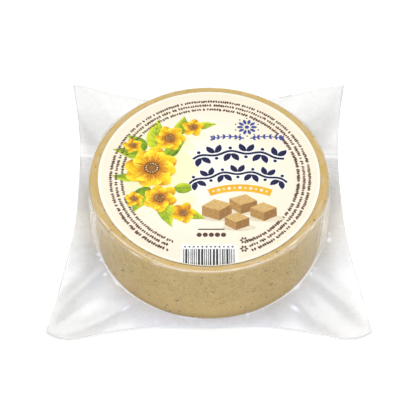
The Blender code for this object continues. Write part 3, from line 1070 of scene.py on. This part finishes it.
def add_blossom(pieces, draw, place, size, petals):
    """A blossom: two whorls of round-tipped petals with veins, and a seeded centre."""
    petal, vein, centre, grain = pieces
    turn = draw.uniform(0.0, 2.0 * pi)
    for whorl, (reach, broad, tones) in enumerate(((1.0, 0.36, (-0.35, 0.80)), (0.80, 0.30, (-0.20, 1.15)))):
        for step in range(petals):
            heading = turn + 2.0 * pi * (step + 0.5 * whorl + draw.uniform(-0.08, 0.08)) / petals
            length = size * reach * draw.uniform(0.90, 1.08)
            bend = draw.uniform(-0.35, 0.35)
            spine = sprig(place, heading, length, bend)
            sides = (draw.uniform(0.05, 0.35), draw.uniform(-0.5, -0.2))
            petal.strip(spine, round_halves(size * broad), tones, sides)
            for offset in (-0.17, 0.0, 0.17):
                start = around(place, 0.2 * size, heading + offset)
                line = sprig(start, heading + 1.2 * offset, length * draw.uniform(0.38, 0.58), bend, 4)
                wide = 0.026 * size + 0.07
                vein.strip(line, [wide, 0.9 * wide, 0.7 * wide, 0.5 * wide, 0.2 * wide], (0.0, 1.0))
    centre.disc(place, 0.28 * size, 0.28 * size, -0.2)
    centre.disc(place, 0.15 * size, 0.15 * size, 0.6)
    for step in range(14):
        spot = around(place, 0.21 * size, 2.0 * pi * step / 14)
        grain.disc(spot, 0.032 * size, 0.032 * size, draw.random(), 4)


def make_garland():
    """A crescent of yellow blossoms and green leaves down the label's left side."""
    draw = random.Random(5)
    pieces = [
        Print(name, shaded_ink(ink, colours), level)
        for level, (name, ink, colours) in enumerate(GARLAND_INKS, 1)
    ]
    leaves, veins, *blossom_pieces = pieces
    for x, y, heading, length, width, bend, tone in GARLAND_LEAVES:
        add_leaf(leaves, veins, (x, y), radians(heading), length, width, bend, tone)
    for x, y, size, petals in BLOSSOMS:
        add_blossom(blossom_pieces, draw, (x, y), size, petals)
    finish_pieces(*pieces)


def make_vine_rows():
    """Two arched rows of bold navy vine on a white halo, a fine tendril and a blue rosette."""
    halo = Print("label_white_halo", ink_material("halo_ink", (0.93, 0.93, 0.92), (0.91, 0.91, 0.90)), 2)
    navy = Print("label_navy_vine", ink_material("navy_ink", (0.005, 0.007, 0.062), (0.004, 0.005, 0.042)), 3)

    def stroke(spine, halves):
        halo.strip(spine, [half + 0.5 for half in halves])
        navy.strip(spine, halves)

    for radius, start, end, count, size in VINE_ROWS:
        stem = []
        for step in range(count * 8 + 1):
            angle = radians(between(start, end, step / (count * 8)))
            swing = 0.6 * size * sin(pi * step / 8)
            stem.append(around(VINE_CENTRE, radius + swing, angle))
        stroke(stem, [0.42 * size] * len(stem))
        for leaf in range(count):
            angle = radians(between(start, end, (leaf + 0.5) / count))
            up = 1.0 if leaf % 2 else -1.0
            root = around(VINE_CENTRE, radius + up * 0.55 * size, angle)
            heading = angle + (0.0 if up > 0 else pi)
            for lean in (-0.62, 0.62):
                spine = sprig(root, heading + 1.6 * lean, 3.9 * size, -1.2 * lean)
                stroke(spine, round_halves(1.05 * size, 0.95, 0.75))
            berry = around(VINE_CENTRE, radius - up * 1.9 * size, angle)
            halo.disc(berry, 0.6 * size + 0.5, 0.6 * size + 0.5)
            navy.disc(berry, 0.6 * size, 0.6 * size)
    finish_pieces(halo, navy)

    blue = Print("label_blue_rosette", ink_material("blue_ink", (0.035, 0.055, 0.24), (0.06, 0.09, 0.33)), 2)
    for step in range(ROSETTE_PETALS):
        angle = 2.0 * pi * step / ROSETTE_PETALS
        spine = sprig(around(ROSETTE_CENTRE, 1.7, angle), angle, 3.1, 0.0, 6)
        blue.strip(spine, round_halves(0.78, 1.1, 0.7, 6))
        blue.disc(around(ROSETTE_CENTRE, 5.6, angle + pi / ROSETTE_PETALS), 0.36, 0.36, steps=6)
    blue.disc(ROSETTE_CENTRE, 1.0, 1.0)
    for side in (1.0, -1.0):
        start = (ROSETTE_CENTRE[0] + 1.5 * side, ROSETTE_CENTRE[1] - 7.0)
        spine = sprig(start, pi / 2 - side * (pi / 2 - 0.3), 15.0, -0.6 * side, 16)
        blue.strip(spine, [0.36 - 0.015 * step for step in range(17)])
        for index in range(3, 16, 2):
            for up in (1.0, -1.0):
                heading = pi / 2 - side * pi / 2 + side * up * 0.9
                blue.strip(sprig(spine[index], heading, 1.9, 0.0, 5), round_halves(0.5, 1.1, 0.7, 5))
    blue.finish_piece()


def make_ribbon():
    """The arched orange ribbon with its cream dots."""
    finish = ink_material("orange_ink", (0.80, 0.39, 0.012), (0.84, 0.47, 0.02))
    orange = Print("label_orange_ribbon", finish, 1)
    angles = [radians(between(*RIBBON_ENDS, step / 30)) for step in range(31)]
    orange.strip([around(VINE_CENTRE, RIBBON_RADIUS, angle) for angle in angles], [2.0] * 31)
    orange.finish_piece()
    cream = Print("label_cream_dots", ink_material("cream_ink", (0.92, 0.86, 0.66)), 2)
    for step in range(11):
        angle = radians(between(*DOT_ENDS, step / 10))
        size = 0.85 if step % 2 else 0.55
        cream.disc(around(VINE_CENTRE, RIBBON_RADIUS, angle), size, size, steps=6)
    cream.finish_piece()


def make_cubes():
    """Cut cubes of halva on a soft tan shadow."""
    shadow, right, left, top = (
        Print(name, ink_material(*ink), level) for level, (name, *ink) in enumerate(CUBE_INKS, 1)
    )
    for x, y, size, turn in CUBES:
        shadow.disc((x + 0.12 * size, y - 0.72 * size), 0.95 * size, 0.24 * size)
        first = (size * cos(turn), 0.5 * size * sin(turn))
        second = (-size * sin(turn), 0.5 * size * cos(turn))
        fall = 0.55 * size
        back, front, east, west = (
            (x + a * first[0] + b * second[0], y + a * first[1] + b * second[1])
            for a, b in ((0.5, 0.5), (-0.5, -0.5), (0.5, -0.5), (-0.5, 0.5))
        )
        top.quad((back, west, front, east))
        left.quad((west, (west[0], west[1] - fall), (front[0], front[1] - fall), front))
        right.quad((front, (front[0], front[1] - fall), (east[0], east[1] - fall), east))
    finish_pieces(shadow, top, left, right)


def make_panel():
    """The white striped panel at the label's front, and the brown marks above it."""
    white = Print("label_white_panel", ink_material("white_ink", (0.94, 0.94, 0.93)), 2)
    white.strip([(-12.4, -44.8), (12.6, -44.8)], [4.9, 4.9])
    white.finish_piece()
    dark = Print("label_dark_stripes", ink_material("dark_ink", (0.03, 0.03, 0.03)), 3)
    draw = random.Random(8)
    x = -11.3
    while x < 11.0:
        width = draw.choice((0.35, 0.35, 0.6, 0.9))
        middle = x + width / 2
        dark.strip([(middle, -42.4), (middle, -((50.9 ** 2 - middle ** 2) ** 0.5))], [width / 2] * 2)
        x += width + draw.choice((0.4, 0.5, 0.7))
    for step in range(12):
        dark.disc((-10.6 + 1.9 * step, -41.2), 0.42, 0.42, steps=4)
    dark.finish_piece()
    brown = Print("label_brown_marks", ink_material("mark_ink", (0.10, 0.045, 0.035)), 2)
    for step in range(5):
        brown.disc((-4.4 + 2.7 * step, -34.6), 1.15, 1.15, steps=8)
    brown.strip([(-4.9, -31.6), (6.9, -31.6)], [0.28, 0.28])
    for x, y in ((15.4, -37.6), (15.4, -42.2)):
        for step in range(6):
            angle = radians(60.0 * step)
            petal = sprig(around((x, y), 0.5, angle), angle, 1.35, 0.0, 4)
            brown.strip(petal, round_halves(0.5, 1.1, 0.7, 4))
    brown.finish_piece()


def make_label():
    mesh = disc_mesh("label_disc", LABEL_RADIUS, LABEL_Z, LABEL_TOP)
    add_piece("label_disc", mesh, paper_material(), "label")
    make_ring_marks()
    make_garland()
    make_vine_rows()
    make_ribbon()
    make_cubes()
    make_panel()


make_camera()
make_studio()
make_halva()
make_film()
make_label()
